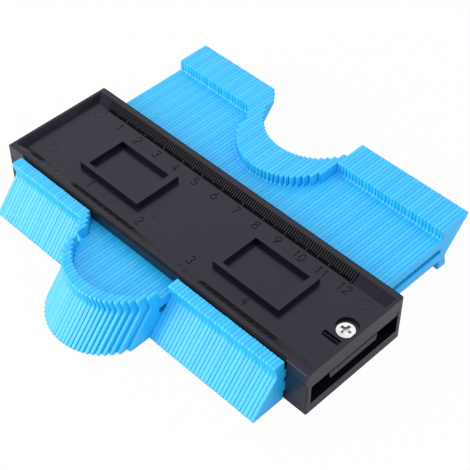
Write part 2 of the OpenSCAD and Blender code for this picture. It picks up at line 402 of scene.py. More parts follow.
@dataclass(frozen=True)
class Finish:
    """A surface finish: its colours, gloss and grain."""

    name: str
    colour: Colour
    # Second colour: a worn look along the scuffs, a random tone on the slats, and painted shade in the
    # screw's cross.
    worn_colour: Colour
    rough: Pair
    bump_strength: float = 0.1
    bump_depth: float = 20 * MICRON
    specular: float = 0.5
    gloss_colour: Colour = (1.0, 1.0, 1.0)
    metallic: float = 0.0

    def build(self) -> bpy.types.Material:
        """Makes the material.

        Returns:
            A material whose base colour, roughness and bump change over the surface.
        """
        material = bpy.data.materials.new(self.name)
        material.use_nodes = True
        tools = NodeTools(material.node_tree)
        shader = material.node_tree.nodes["Principled BSDF"]
        shader.inputs["Metallic"].default_value = self.metallic
        shader.inputs["Specular IOR Level"].default_value = self.specular
        shader.inputs["Specular Tint"].default_value = (*self.gloss_colour, 1.0)
        coordinates = tools.add("ShaderNodeTexCoord").outputs["Object"]
        tint = tools.mix(self.wear(tools, coordinates), self.colour, self.worn_colour)
        tools.join(tint, shader.inputs["Base Color"])
        grain = tools.place(Group.GRAIN, coordinates)
        tools.join(tools.remap(grain.outputs["Cloud"], self.rough), shader.inputs["Roughness"])
        bump = tools.add("ShaderNodeBump")
        bump.inputs["Strength"].default_value = self.bump_strength
        bump.inputs["Distance"].default_value = self.bump_depth
        tools.join(grain.outputs["Height"], bump.inputs["Height"])
        tools.join(bump.outputs["Normal"], shader.inputs["Normal"])
        return material

    def wear(self, tools: NodeTools, coordinates: bpy.types.NodeSocket) -> bpy.types.NodeSocket:
        """Share of the worn colour, which shows along the scuffs."""
        return tools.place(Group.SCUFF, coordinates).outputs["Mask"]


@dataclass(frozen=True)
class CarriedFinish(Finish):
    """Finish whose two colours are mixed by a value that the mesh carries at its points."""

    carried: str = "tone"

    def wear(self, tools: NodeTools, coordinates: bpy.types.NodeSocket) -> bpy.types.NodeSocket:
        """Share of the second colour, which is the carried value wherever the point lies: a random tone on
        the slats and painted shade in the screw's cross.
        """
        return tools.add("ShaderNodeAttribute", attribute_name=self.carried).outputs["Fac"]

    def carry(self, piece: bpy.types.Object, values: np.ndarray) -> None:
        """Writes the carried value of every point of a piece."""
        attribute = piece.data.attributes.new(self.carried, "FLOAT", "POINT")
        attribute.data.foreach_set("value", values.astype(np.float32).ravel())


SHELL_FINISH = Finish(
    "charcoal_plastic",
    colour=(0.0045, 0.0038, 0.0105),
    worn_colour=(0.0085, 0.0078, 0.015),
    rough=(0.24, 0.34),
    bump_strength=0.2,
    specular=0.53,
    gloss_colour=(0.85, 0.83, 1.0),
)
# Painted shade: a dark, dull copy of the shell plastic under the scales' ribs and along the moulding slot's
# near side.
PAINTED_SHADE_FINISH = Finish(
    "painted_shade_charcoal_plastic",
    colour=(0.0015, 0.0014, 0.0028),
    worn_colour=(0.003, 0.0028, 0.005),
    rough=(0.45, 0.55),
    specular=0.05,
)
# Painted highlight: a lighter, glossier copy of the shell plastic for the lit edges of the scale's ribs.
PAINTED_HIGHLIGHT_FINISH = Finish(
    "painted_highlight_charcoal_plastic",
    colour=(0.016, 0.0155, 0.023),
    worn_colour=(0.022, 0.0215, 0.03),
    rough=(0.26, 0.36),
    specular=0.65,
)
# Dark finish: painted shade on the numerals and on the inch scale's strips and lines, and the seam's dark
# joint line.
MARK_AND_SHADE_FINISH = Finish(
    "dark_mark_and_painted_shade",
    colour=(0.004, 0.004, 0.006),
    worn_colour=(0.006, 0.006, 0.008),
    rough=(0.6, 0.75),
    specular=0.14,
)
# Painted shade: a dull dark copy of the shell plastic along the cover's long top edges.
SHOULDER_SHADE_FINISH = Finish(
    "painted_shade_edge_plastic",
    colour=(0.0055, 0.0055, 0.008),
    worn_colour=(0.008, 0.008, 0.0105),
    rough=(0.55, 0.7),
    specular=0.21,
)
GUIDE_FINISH = Finish(
    "black_plastic",
    colour=(0.006, 0.006, 0.007),
    worn_colour=(0.012, 0.012, 0.013),
    rough=(0.45, 0.6),
)
SLAT_FINISH = CarriedFinish(
    "light_blue_plastic",
    colour=(0.01, 0.485, 0.98),
    worn_colour=(0.03, 0.56, 1.0),
    rough=(0.34, 0.46),
    bump_strength=0.12,
    specular=0.74,
)
# The second colour is painted shade in the screw head's cross, mixed in by the carried value.
SCREW_FINISH = CarriedFinish(
    "plated_steel",
    colour=(0.93, 0.93, 0.92),
    worn_colour=(0.3, 0.3, 0.31),
    rough=(0.16, 0.3),
    bump_strength=0.06,
    metallic=1.0,
    carried="recess",
)


def row_ends() -> Pair:
    """Where the row of packed slats starts and ends along X."""
    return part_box(SLAT_NODES[0])[0].x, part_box(SLAT_NODES[-1])[1].x


def screw_axis() -> Pair:
    """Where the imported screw's axis stands, as (X, Y)."""
    low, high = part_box(SCREW_NODE)
    return (low.x + high.x) / 2, (low.y + high.y) / 2


@dataclass
class SlatRow:
    """The row of slats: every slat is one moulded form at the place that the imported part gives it.

    The soft edge grows from the row's start to its end, and each slat's width and tone vary a little.
    """

    material: bpy.types.Material
    thickness: float = 1.47 * MM
    soft_edges: Pair = (0.1 * MM, 0.21 * MM)
    span: float = 77.3 * MM
    web_low: float = 4.7 * MM
    web_high: float = 15.1 * MM
    slot_height: float = 2.5 * MM
    head_low: float = 0.4 * MM
    head_high: float = 19.4 * MM
    tip_reach: float = 13.6 * MM
    tip_thickness: float = 0.8 * MM
    foot_width: float = 4.7 * MM
    neck_width: float = 3.1 * MM
    neck_height: float = 5.5 * MM
    root_radius: float = 0.9 * MM
    edge_radius: float = 0.3 * MM
    neck_radius: float = 2.2 * MM
    foot_radius: float = 0.8 * MM
    slot_radius: float = 0.2 * MM
    arc_steps: int = 5
    tone_turn: float = 0.618
    width_turn: float = 0.414
    width_spread: float = 0.05
    width_middle: float = 0.75
    place_digits: int = 6

    def half_corners(self) -> tuple[np.ndarray, np.ndarray]:
        """Corners of one head with its two roots, from the lower root round to the upper one.

        Returns:
            Corner points as (Y, Z), with Y from the slat's middle, and their radii.
        """
        inner = self.span / 2
        corners = np.array([
            [inner, self.web_low],
            [inner, self.head_low],
            [inner + self.foot_width, self.head_low],
            [inner + self.neck_width, self.head_low + self.neck_height],
            [inner + self.tip_reach, self.head_high - self.tip_thickness],
            [inner + self.tip_reach, self.head_high],
            [inner, self.head_high],
            [inner, self.web_high],
        ])
        edge, root = self.edge_radius, self.root_radius
        radii = np.array([root, edge, self.foot_radius, self.neck_radius, edge, edge, edge, root])
        return corners, radii

    def form(self, soft: float) -> np.ndarray:
        """One slat about its own middle.

        The outline, the same head turned half round at each end, is carried through the thickness
        with its edges drawn in by the soft edge, and then back through the slot, so that the grid
        closes on itself both ways.

        Args:
            soft: Soft edge of the slat.

        Returns:
            Points of the grid: station, place on the outline, and X, Y and Z.
        """
        corners, radii = self.half_corners()
        middle = np.array([0.0, (self.web_low + self.web_high) / 2])
        outline, outward = rounded_outline(
            np.concatenate([corners, 2 * middle - corners]), np.tile(radii, 2), self.arc_steps
        )
        half_span, half_slot = self.span / 2, self.slot_height / 2
        ends = np.array([[1, -1], [1, 1], [-1, 1], [-1, -1]]) * [half_span, half_slot] + middle
        slot_steps = len(outline) // len(ends)
        slot, slot_outward = rounded_outline(ends, np.full(len(ends), self.slot_radius), slot_steps)
        half = self.thickness / 2
        station = np.array([-half, soft - half, half - soft, half])
        inset = np.array([soft, 0.0, 0.0, soft])
        outer = outline[None] - inset[:, None, None] * outward[None]
        inner = (slot[None] + inset[:, None, None] * slot_outward[None])[::-1]
        across = np.concatenate([station, station[::-1]])[:, None, None]
        sides = np.concatenate([outer, inner])
        return np.concatenate([np.broadcast_to(across, (*sides.shape[:2], 1)), sides], axis=2)

    def places(self, node: bpy.types.Object) -> np.ndarray:
        """Where the slats of one node stand.

        Args:
            node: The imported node, which holds slats side by side along X.

        Returns:
            Each slat's middle as (X, Y), by X.
        """
        points = np.zeros(len(node.data.vertices) * 3, np.float32)
        node.data.vertices.foreach_get("co", points)
        points = points.reshape(-1, 3).astype(float)
        faces_x = np.unique(np.round(points[:, 0], self.place_digits))
        middle = (faces_x[0::2] + faces_x[1::2]) / 2
        near = np.abs(points[None, :, 0] - middle[:, None]) < self.thickness / 2
        tips = np.where(near, points[None, :, 1], -np.inf).max(axis=1)
        return np.stack([middle, tips - self.tip_reach - self.span / 2], axis=1)

    def build(self) -> list[bpy.types.Object]:
        """Builds one piece for each node of slats, dressed and riding on its body.

        Returns:
            The pieces, in the order of the row.
        """
        pieces = []
        for number, name in enumerate(SLAT_NODES):
            places = self.places(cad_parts[name])
            offset = np.concatenate([places, np.zeros((len(places), 1))], axis=1)
            first = number * len(places)
            share = self.turns(first, len(places), self.width_turn) - self.width_middle
            across = 1 + self.width_spread * share
            stretch = np.stack([across, np.ones_like(across), np.ones_like(across)], axis=1)
            soft_edges = np.interp(places[:, 0], row_ends(), self.soft_edges)
            forms = np.stack([self.form(soft) for soft in soft_edges])
            points = forms * stretch[:, None, None, :] + offset[:, None, None, :]
            stations, around = points.shape[1:3]
            faces = grid_faces(stations, around, close_rows=True, close_columns=True)
            all_faces = copies(faces, stations * around, len(places))
            piece = add_piece(f"moulded_{name}", points, [all_faces], self.material)
            tones = self.turns(first, len(places), self.tone_turn)
            SLAT_FINISH.carry(piece, np.repeat(tones, stations * around))
            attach(piece, name)
            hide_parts(name)
            pieces.append(piece)
        return pieces

    def turns(self, first: int, count: int, turn: float) -> np.ndarray:
        """Gives each slat its own value from 0 to 1: the fraction of its number times a turn.

        Args:
            first: Number of the first slat in the row.
            count: How many slats follow from there.
            turn: Step from one slat to the next.

        Returns:
            One value for each slat.
        """
        return np.modf((first + np.arange(count) + 1) * turn)[0]


@dataclass
class Tray:
    """The tray on the cover, which the scale marks lie on."""

    rim: float = 2.3 * MM
    run: float = 3.6 * MM
    depth: float = 2.5 * MM

    def band(self, side: int) -> tuple[np.ndarray, np.ndarray]:
        """Foot and head of a sloping band.

        Args:
            side: 1 for the far band and -1 for the near one.

        Returns:
            The band's lower and upper edges as (Y, Z).
        """
        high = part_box(COVER_NODE)[1]
        edge = high.y - self.rim
        return (
            np.array([side * (edge - self.run), high.z - self.depth]),
            np.array([side * edge, high.z]),
        )

    def floor(self) -> float:
        """Height of the tray's floor."""
        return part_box(COVER_NODE)[1].z - self.depth


@dataclass
class Scale:
    """One scale on a sloping band of the tray.

    Ribs hang from the band's top, with a dark strip of painted shade under them and, where asked for, a
    thin dark line beside each, as the ribs' painted shadow.
    """

    name: str
    side: int
    zero: float
    spacing: float
    count: int
    levels: tuple[int, ...]
    starts: tuple[float, ...]
    end: float = 0.97
    width: float = 0.42 * MM
    draft: float = 0.05 * MM
    proud: float = 0.1 * MM
    ground_proud: float = 0.03 * MM
    ground_end: float = 0.97
    ground_past: float = 0.8 * MM
    ground_parts: tuple[Pair, ...] = ((0.0, 1.0),)
    line_width: float = 0.36 * MM
    line_proud: float = 0.045 * MM
    sunk: float = 0.05 * MM

    def bars(
        self, tray: Tray, middle: np.ndarray, width: np.ndarray, start: np.ndarray, end: float, proud: float
    ) -> np.ndarray:
        """Low bars with sloping sides that lie on the band.

        Each bar runs up the band between two shares of its slope, from a little under the surface to
        the bar's height over it, and is narrower by the draft on each side at its top.

        Args:
            tray: The tray that carries the scale.
            middle: Middle of each bar along the row.
            width: Width of each bar along the row.
            start: Share of the band, from its foot, at which each bar starts.
            end: Share at which all the bars end.
            proud: Height of the bars over the band.

        Returns:
            Points by bar, end, height and side, as X, Y and Z.
        """
        foot, head = tray.band(self.side)
        slope = head - foot
        normal = unit(np.array([-slope[1], slope[0]]) * self.side)
        share = np.stack([start, np.full(len(start), end)], axis=1)
        on_band = foot + share[..., None] * slope
        lift = np.array([-self.sunk, proud])
        half = np.stack([width / 2, width / 2 - self.draft], axis=1)
        side = np.array([-1.0, 1.0])
        shape = (len(start), 2, 2, 2)
        across = np.broadcast_to(middle[:, None, None, None] + half[:, None, :, None] * side, shape)
        yz = on_band[:, :, None, None, :] + lift[None, None, :, None, None] * normal
        yz = np.broadcast_to(yz, (*shape, 2))
        return np.concatenate([across[..., None], yz], axis=-1)

    def lay(self, name: str, points: np.ndarray, material: bpy.types.Material) -> bpy.types.Object:
        """Makes one piece of bars on the shells, with their faces outwards on either band."""
        return add_to_shells(name, points, [box_faces(len(points))[:, :: -self.side]], material)

    def build_ribs(self, tray: Tray, material: bpy.types.Material) -> bpy.types.Object:
        """Builds the ribs, each as long as the highest level that its number belongs to.

        Args:
            tray: The tray that carries the scale.
            material: Finish of the ribs.

        Returns:
            The piece, riding on the shells.
        """
        middle, start = self.rib_places()
        width = np.full(self.count, self.width)
        points = self.bars(tray, middle, width, start, self.end, self.proud)
        return self.lay(f"{self.name}_ribs", points, material)

    def rib_places(self) -> tuple[np.ndarray, np.ndarray]:
        """Where the ribs stand.

        Returns:
            The middle of each of the ribs along the row, and the share of the band at which it starts.
        """
        number = np.arange(self.count)
        start = np.full(self.count, self.starts[0])
        for level, longer in zip(self.levels, self.starts[1:]):
            start = np.where(number % level == 0, longer, start)
        return self.zero + number * self.spacing, start

    def build_lines(self, tray: Tray, material: bpy.types.Material) -> bpy.types.Object:
        """Builds a thin dark line beside each of the ribs, as long as it, as the ribs' painted shadow.

        Args:
            tray: The tray that carries the scale.
            material: Finish of the painted shadows.

        Returns:
            The piece, riding on the shells.
        """
        middle, start = self.rib_places()
        beside = middle - (self.width + self.line_width) / 2
        width = np.full(self.count, self.line_width)
        points = self.bars(tray, beside, width, start, self.end, self.line_proud)
        return self.lay(f"{self.name}_lines", points, material)

    def build_ground(self, tray: Tray, material: bpy.types.Material) -> bpy.types.Object:
        """Builds painted shade under the ribs as thin dark strips, each a little longer than its part of
        the scale.

        Args:
            tray: The tray that carries the scale.
            material: Finish of the painted shade.

        Returns:
            The piece, riding on the shells.
        """
        length = (self.count - 1) * self.spacing
        shares = np.array(self.ground_parts)
        middle = self.zero + shares.mean(axis=1) * length
        width = np.ptp(shares, axis=1) * length + 2 * self.ground_past
        points = self.bars(tray, middle, width, np.zeros(len(shares)), self.ground_end, self.ground_proud)
        return self.lay(f"{self.name}_ground", points, material)


@dataclass
class Numerals:
    """Numbers of one scale, drawn with a stroke of even width on the tray's floor; the strokes stand
    slightly proud, and their dark finish paints the shade of moulded grooves.
    """

    name: str
    zero: float
    spacing: float
    last: int
    middle_y: float
    height: float = 3.6 * MM
    width: float = 1.9 * MM
    gap: float = 0.75 * MM
    stroke: float = 0.42 * MM
    top_reach: float = 0.36
    proud: float = 0.07 * MM
    sunk: float = 0.04 * MM
    curve_steps: int = 14

    def arc(self, middle: Pair, radii: Pair, start: float, end: float) -> np.ndarray:
        """Points on an ellipse between two angles in degrees."""
        angle = np.radians(np.linspace(start, end, self.curve_steps))
        return middle + np.stack([np.cos(angle), np.sin(angle)], axis=1) * radii

    def strokes(self, digit: str) -> list[np.ndarray]:
        """Centre lines of a digit in a box from -0.5 to 0.5 each way.

        Args:
            digit: One of the ten digits.

        Returns:
            One array of (across, up) points for each stroke.
        """
        wide, small = (0.5, 0.25), (0.44, 0.23)
        lines = {
            "0": [self.arc((0, 0), (0.5, 0.5), 90, 450)],
            "1": [np.array([[-0.25, 0.28], [0.05, 0.5], [0.05, -0.5]])],
            "2": [
                np.concatenate([self.arc((0, 0.22), (0.48, 0.28), 170, -30), [[-0.5, -0.5], [0.5, -0.5]]])
            ],
            "3": [
                np.concatenate([self.arc((0, 0.26), small, 160, -80), self.arc((0, -0.24), wide, 80, -160)])
            ],
            "4": [
                np.array([[0.1, 0.5], [-0.5, -0.2], [0.5, -0.2]]),
                np.array([[0.22, 0.15], [0.22, -0.5]]),
            ],
            "5": [
                np.concatenate([
                    [[0.45, 0.5], [-0.36, 0.5], [-0.42, 0.06]],
                    self.arc((0, -0.18), (0.5, 0.32), 125, -150),
                ])
            ],
            "6": [np.concatenate([[[0.28, 0.5]], self.arc((0, -0.2), (0.5, 0.3), 170, 530)])],
            "7": [np.array([[-0.5, 0.5], [0.5, 0.5], [-0.12, -0.5]])],
            "8": [
                self.arc((0, 0.26), small, 270, 630),
                self.arc((0, -0.24), (0.5, 0.26), 90, 450),
            ],
            "9": [np.concatenate([[[-0.28, -0.5]], self.arc((0, 0.2), (0.5, 0.3), -10, 350)])],
        }
        return lines[digit]

    def ribbon(self, line: np.ndarray, origin: np.ndarray) -> np.ndarray:
        """Carries a low trapezium along a centre line.

        At each point the profile lies across the line's mean direction there.

        Args:
            line: Centre line in the digit's box.
            origin: Middle of the digit on the floor.

        Returns:
            Points of the grid: place on the line, corner of the profile, and X, Y and Z.
        """
        path = line * [self.width, self.height]
        along = unit(np.gradient(path, axis=0))
        across = np.stack([along[:, 1], -along[:, 0]], axis=1)
        reach = np.array([-0.5, -self.top_reach, self.top_reach, 0.5]) * self.stroke
        lift = np.array([-self.sunk, self.proud, self.proud, -self.sunk])
        flat = path[:, None, :] + reach[None, :, None] * across[:, None, :]
        height = np.broadcast_to(lift[None, :, None], (*flat.shape[:2], 1))
        return np.concatenate([flat, height], axis=2) + origin

    def build(self, tray: Tray, material: bpy.types.Material) -> bpy.types.Object:
        """Builds all the numbers of the scale as one piece.

        Args:
            tray: The tray that carries the numbers.
            material: Finish of the strokes.

        Returns:
            The piece, riding on the shells.
        """
        blocks: list[np.ndarray] = []
        faces: list[np.ndarray] = []
        total = 0
        step = self.width + self.gap
        for value in range(1, self.last + 1):
            text = str(value)
            first = self.zero + value * self.spacing - step * (len(text) - 1) / 2
            for place, digit in enumerate(text):
                origin = np.array([first + place * step, self.middle_y, tray.floor()])
                for line in self.strokes(digit):
                    points = self.ribbon(line, origin)
                    rows, columns = points.shape[:2]
                    corners = np.arange(columns)
                    ends = np.stack([corners[::-1], corners + (rows - 1) * columns])
                    quads = grid_faces(rows, columns, close_rows=False, close_columns=True)
                    faces.append(np.concatenate([quads, ends]) + total)
                    blocks.append(points.reshape(-1, 3))
                    total += rows * columns
        outwards = np.concatenate(faces)[:, ::-1]
        return add_to_shells(self.name, np.concatenate(blocks), [outwards], material)


@dataclass
class EjectorMarks:
    """Faint round witness marks that the mould's ejector pins leave on the tray's floor."""

    places: tuple[Pair, ...] = (
        (64.9 * MM, 12.9 * MM),
        (65.1 * MM, -11.5 * MM),
        (-62.9 * MM, -10.5 * MM),
        (-64.8 * MM, 13.7 * MM),
        (-9.7 * MM, -10.2 * MM),
    )
    radius: float = 2.2 * MM
    width: float = 0.3 * MM
    proud: float = 0.07 * MM
    sunk: float = 0.03 * MM
    steps: int = 48

    def build(self, tray: Tray, material: bpy.types.Material) -> bpy.types.Object:
        """Builds the marks as one piece: a low triangle turned round each place.

        Args:
            tray: The tray that carries the marks.
            material: Finish of the marks.

        Returns:
            The piece, riding on the shells.
        """
        turn = np.linspace(0.0, 2 * math.pi, self.steps, endpoint=False)
        reach = self.radius + np.array([-0.5, 0.0, 0.5]) * self.width
        lift = np.array([-self.sunk, self.proud, -self.sunk])
        ring = turned(reach, turn[:, None], lift)
        middle = np.array([[x, y, tray.floor()] for x, y in self.places])
        points = ring[None] + middle[:, None, None, :]
        faces = grid_faces(self.steps, len(reach), close_rows=True, close_columns=True)
        all_faces = copies(faces, self.steps * len(reach), len(middle))
        return add_to_shells("ejector_marks", points, [all_faces], material)


@dataclass
class Screw:
    """The screw with a low domed head, a cross for the driver and a thread."""

    material: bpy.types.Material
    head_radius: float = 3.15 * MM
    rim: float = 1.2 * MM
    rim_soft: float = 0.12 * MM
    crown: float = 0.5 * MM
    shank_radius: float = 1.75 * MM
    thread_pitch: float = 1.4 * MM
    thread_depth: float = 0.45 * MM
    thread_start: float = 1.0 * MM
    tip_length: float = 1.5 * MM
    tip_share: float = 0.02
    cross_half_length: float = 1.9 * MM
    cross_half_width: float = 0.48 * MM
    cross_depth: float = 0.9 * MM
    wall_slope: float = 0.2 * MM
    floor_shade: float = 0.25
    crease: float = 40.0
    round_steps: int = 224
    head_steps: int = 60
    shank_steps: int = 90

    def head(self) -> tuple[np.ndarray, np.ndarray]:
        """Top of the head, on a grid of circles and turns.

        The height is a dome less the cross: the depth fades over the wall's slope, by the distance
        past the end or the side of the nearer arm.

        Returns:
            Points of the grid from the middle out, about the head's seat, and how much painted shade each
            gets: most on the cross's walls and less on its floor.
        """
        radius = np.linspace(0.0, 1.0, self.head_steps)[:, None] * self.head_radius
        turn = self.turns()
        x, y = radius * np.cos(turn), radius * np.sin(turn)
        long, short = np.maximum(np.abs(x), np.abs(y)), np.minimum(np.abs(x), np.abs(y))
        past = np.maximum(long - self.cross_half_length, short - self.cross_half_width)
        fade = np.clip(0.5 - past / self.wall_slope, 0.0, 1.0)
        dome = self.crown * (1 - (radius / self.head_radius) ** 2)
        z = self.rim + dome - fade * self.cross_depth
        shade = np.clip(4 * fade * (1 - fade) + self.floor_shade * fade, 0.0, 1.0)
        return np.stack([x, y, z], axis=-1), shade

    def turns(self) -> np.ndarray:
        """Angles once round the screw, as one row."""
        return np.linspace(0.0, 2 * math.pi, self.round_steps, endpoint=False)[None, :]

    def shank(self, length: float) -> np.ndarray:
        """Shank from the head's rim to the tip.

        Below the rim's side, the radius falls off by the thread's depth between the crests of a helix,
        which starts gently under the head, and it runs out to a cone at the tip.

        Args:
            length: Length below the head's seat.

        Returns:
            Points of the grid from the rim down, about the head's seat.
        """
        turn = self.turns()
        depth = np.linspace(0.0, 1.0, self.shank_steps)[:, None] * length
        phase = np.modf(depth / self.thread_pitch + turn / (2 * math.pi))[0]
        valley = np.abs(2 * phase - 1)
        taper = np.clip((length - depth) / self.tip_length, self.tip_share, 1.0)
        start = np.clip(depth / self.thread_start, 0.0, 1.0)
        radius = (self.shank_radius - self.thread_depth * valley * start) * taper
        rim_height = np.array([self.rim - self.rim_soft, 0.0])[:, None]
        return np.concatenate([turned(self.head_radius, turn, rim_height), turned(radius, turn, -depth)])

    def build(self) -> bpy.types.Object:
        """Builds the screw in place of its node.

        Returns:
            The piece, riding on the screw's body.
        """
        low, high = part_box(SCREW_NODE)
        seat = np.array([*screw_axis(), high.z - self.rim - self.crown])
        head, recess = self.head()
        shank = self.shank(seat[2] - low.z)
        points = np.concatenate([head, shank]) + seat
        rows, columns = points.shape[:2]
        faces = grid_faces(rows, columns, close_rows=False, close_columns=True)[:, ::-1]
        tip = (np.arange(columns) + (rows - 1) * columns)[None, :]
        piece = add_piece("plated_screw", points, [faces, tip[:, ::-1]], self.material, self.crease)
        # The carried value paints shade into the cross of the head; the shank gets none.
        SCREW_FINISH.carry(piece, np.concatenate([recess, np.zeros(shank.shape[:2])]))
        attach(piece, Body.SCREW.value)
        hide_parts(SCREW_NODE)
        return piece


@dataclass
class Shells:
    """The two shells and the guide plate, which stay as packed and get finishes and softened edges."""

    shell: bpy.types.Material
    guide: bpy.types.Material
    soft_edge: float = 0.1 * MM
    edge_steps: int = 2
    edge_angle: float = 25.0
    merge: float = 2 * MICRON

    def dress(self) -> None:
        """Puts the finishes on and softens the edges of the two shells."""
        for name in (BASE_NODE, COVER_NODE):
            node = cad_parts[name]
            self.finish(node, self.shell)
            self.soften(node)
        self.finish(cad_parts[GUIDE_NODE], self.guide)

    def finish(self, node: bpy.types.Object, material: bpy.types.Material) -> None:
        """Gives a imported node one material.

        Args:
            node: The node's object.
            material: Its finish.
        """
        node.data.materials.clear()
        node.data.materials.append(material)
        LOG.info("%s: %s", node.name, material.name)

    def soften(self, node: bpy.types.Object) -> None:
        """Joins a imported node's loose faces and rounds its sharp edges, by modifiers.

        Args:
            node: The node's object.
        """
        weld = node.modifiers.new("join_faces", "WELD")
        weld.merge_threshold = self.merge
        bevel = node.modifiers.new("soft_edges", "BEVEL")
        bevel.width = self.soft_edge
        bevel.segments = self.edge_steps
        bevel.limit_method = "ANGLE"
        bevel.angle_limit = math.radians(self.edge_angle)
        bevel.harden_normals = True


@dataclass
class Seam:
    """Line where the two shells meet on the long sides, past both ends of the row of slats."""

    height: float = 14.4 * MM
    half_height: float = 0.17 * MM
    proud: float = 0.02 * MM
    sunk: float = 0.1 * MM
    from_row: float = 0.8 * MM
    from_corner: float = 0.5 * MM

    def build(self, material: bpy.types.Material) -> bpy.types.Object:
        """Builds the four lines as one piece: a thin box on each side of the body at each end.

        Args:
            material: Finish of the lines.

        Returns:
            The piece, riding on the shells.
        """
        low, high = (np.array(corner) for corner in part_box(BASE_NODE))
        row_start, row_end = row_ends()
        along = np.array([
            [low[0] + self.from_corner, row_start - self.from_row],
            [row_end + self.from_row, high[0] - self.from_corner],
        ])
        across = np.array([
            [low[1] - self.proud, low[1] + self.sunk],
            [high[1] - self.sunk, high[1] + self.proud],
        ])
        up = self.height + np.array([-1.0, 1.0]) * self.half_height
        points = np.stack(
            np.broadcast_arrays(along[:, None, :, None, None], across[None, :, None, :, None], up), axis=-1
        )
        return add_to_shells("shell_seam", points, [box_faces(len(along) * len(across))], material)


@dataclass
class Shoulders:
    """Painted shade: dull dark lines along the drawn-in shoulders of the cover's long edges, the near one
    over the row only.
    """

    near_width: float = 0.85 * MM
    far_width: float = 0.35 * MM
    chamfer: float = 0.05 * MM
    drop: float = 0.5 * MM
    proud: float = 0.015 * MM
    sunk: float = 0.1 * MM
    from_end: float = 0.7 * MM

    def build(self, material: bpy.types.Material) -> bpy.types.Object:
        """Builds both lines of painted shade as one piece: a bent strip over the edge, carried along the
        cover.

        Args:
            material: Finish of the lines.

        Returns:
            The piece, riding on the shells.
        """
        low, high = (np.array(corner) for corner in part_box(COVER_NODE))
        up = high[2] + np.array([-self.sunk, self.proud, self.proud, -self.chamfer, -self.drop, -self.drop])
        over_edge = [self.chamfer, -self.proud, -self.proud, self.sunk]
        near, far = (
            np.stack([high[1] - np.array([width, width, *over_edge]), up], axis=1)
            for width in (self.near_width, self.far_width)
        )
        ends = np.array([row_ends(), (low[0] + self.from_end, high[0] - self.from_end)])
        points, faces = carry_along(np.stack([near * [-1.0, 1.0], far[::-1]]), ends)
        return add_to_shells("cover_shoulder_shade", points, faces, material)


@dataclass
class MouldSlot:
    """Ridge in the moulding slot beside the screw, and the step along the slot's near side as a low dark
    strip of painted shade.
    """

    start: float = -4.6 * MM
    end: float = 2.0 * MM
    ridge_y: float = -5.3 * MM
    ridge_foot: float = 0.5 * MM
    ridge_top: float = 0.26 * MM
    ridge_depth: float = 1.2 * MM
    ridge_drop: float = 0.12 * MM
    step_y: float = -6.18 * MM
    step_foot: float = 0.8 * MM
    step_top: float = 0.74 * MM
    step_sunk: float = 0.05 * MM
    step_proud: float = 0.02 * MM

    def bar(
        self, name: str, middle: float, foot: Pair, top: Pair, tray: Tray, material: bpy.types.Material
    ) -> bpy.types.Object:
        """Carries a trapezium along the slot.

        Args:
            name: Name of the piece.
            middle: Middle of the trapezium along Y, from the screw's axis.
            foot: Width of its foot, and the foot's height over the tray's floor.
            top: Width of its top, and the top's height.
            tray: The tray that holds the slot.
            material: Finish of the piece.

        Returns:
            The piece, riding on the shells.
        """
        corners = np.array([foot, foot, top, top])
        corners[:, 0] *= [-0.5, 0.5, 0.5, -0.5]
        axis_x, axis_y = screw_axis()
        profile = corners + [axis_y + middle, tray.floor()]
        points, faces = carry_along(profile[None], axis_x + np.array([[self.start, self.end]]))
        return add_to_shells(name, points, faces, material)

    def build(
        self, tray: Tray, ridge: bpy.types.Material, step: bpy.types.Material
    ) -> list[bpy.types.Object]:
        """Builds the ridge and the step of painted shade, each a low trapezium along the slot.

        Args:
            tray: The tray that holds the slot.
            ridge: Finish of the ridge.
            step: Finish of the step, a dark painted shade.

        Returns:
            The two pieces.
        """
        ridge_foot, ridge_top = (self.ridge_foot, -self.ridge_depth), (self.ridge_top, -self.ridge_drop)
        step_foot, step_top = (self.step_foot, -self.step_sunk), (self.step_top, self.step_proud)
        return [
            self.bar("slot_ridge", self.ridge_y, ridge_foot, ridge_top, tray, ridge),
            self.bar("slot_painted_shade_step", self.step_y, step_foot, step_top, tray, step),
        ]


@dataclass
class PhotoCamera:
    """Camera at the photograph's angle."""

    azimuth: float = 45.10
    elevation: float = 46.51
    distance: float = 448.53 * MM
    target: Triple = (2.43 * MM, 16.8 * MM, 0.0)
    focal_px: float = 1261.03
    frame_px: float = 470.0
    sensor: float = 36.0
    nearest: float = 10 * MM

    def build(self) -> bpy.types.Object:
        """Makes the camera and sets it as the scene's.

        Returns:
            The camera's object.
        """
        turn, rise = math.radians(self.azimuth), math.radians(self.elevation)
        back = Vector((math.sin(turn) * math.cos(rise), -math.cos(turn) * math.cos(rise), math.sin(rise)))
        data = bpy.data.cameras.new("photo_camera")
        data.sensor_width = self.sensor
        data.lens = self.sensor * self.focal_px / self.frame_px
        data.clip_start = self.nearest
        camera = bpy.data.objects.new("photo_camera", data)
        camera.location = Vector(self.target) + back * self.distance
        camera.rotation_euler = (-back).to_track_quat("-Z", "Y").to_euler()
        bpy.context.scene.collection.objects.link(camera)
        bpy.context.scene.camera = camera
        return camera


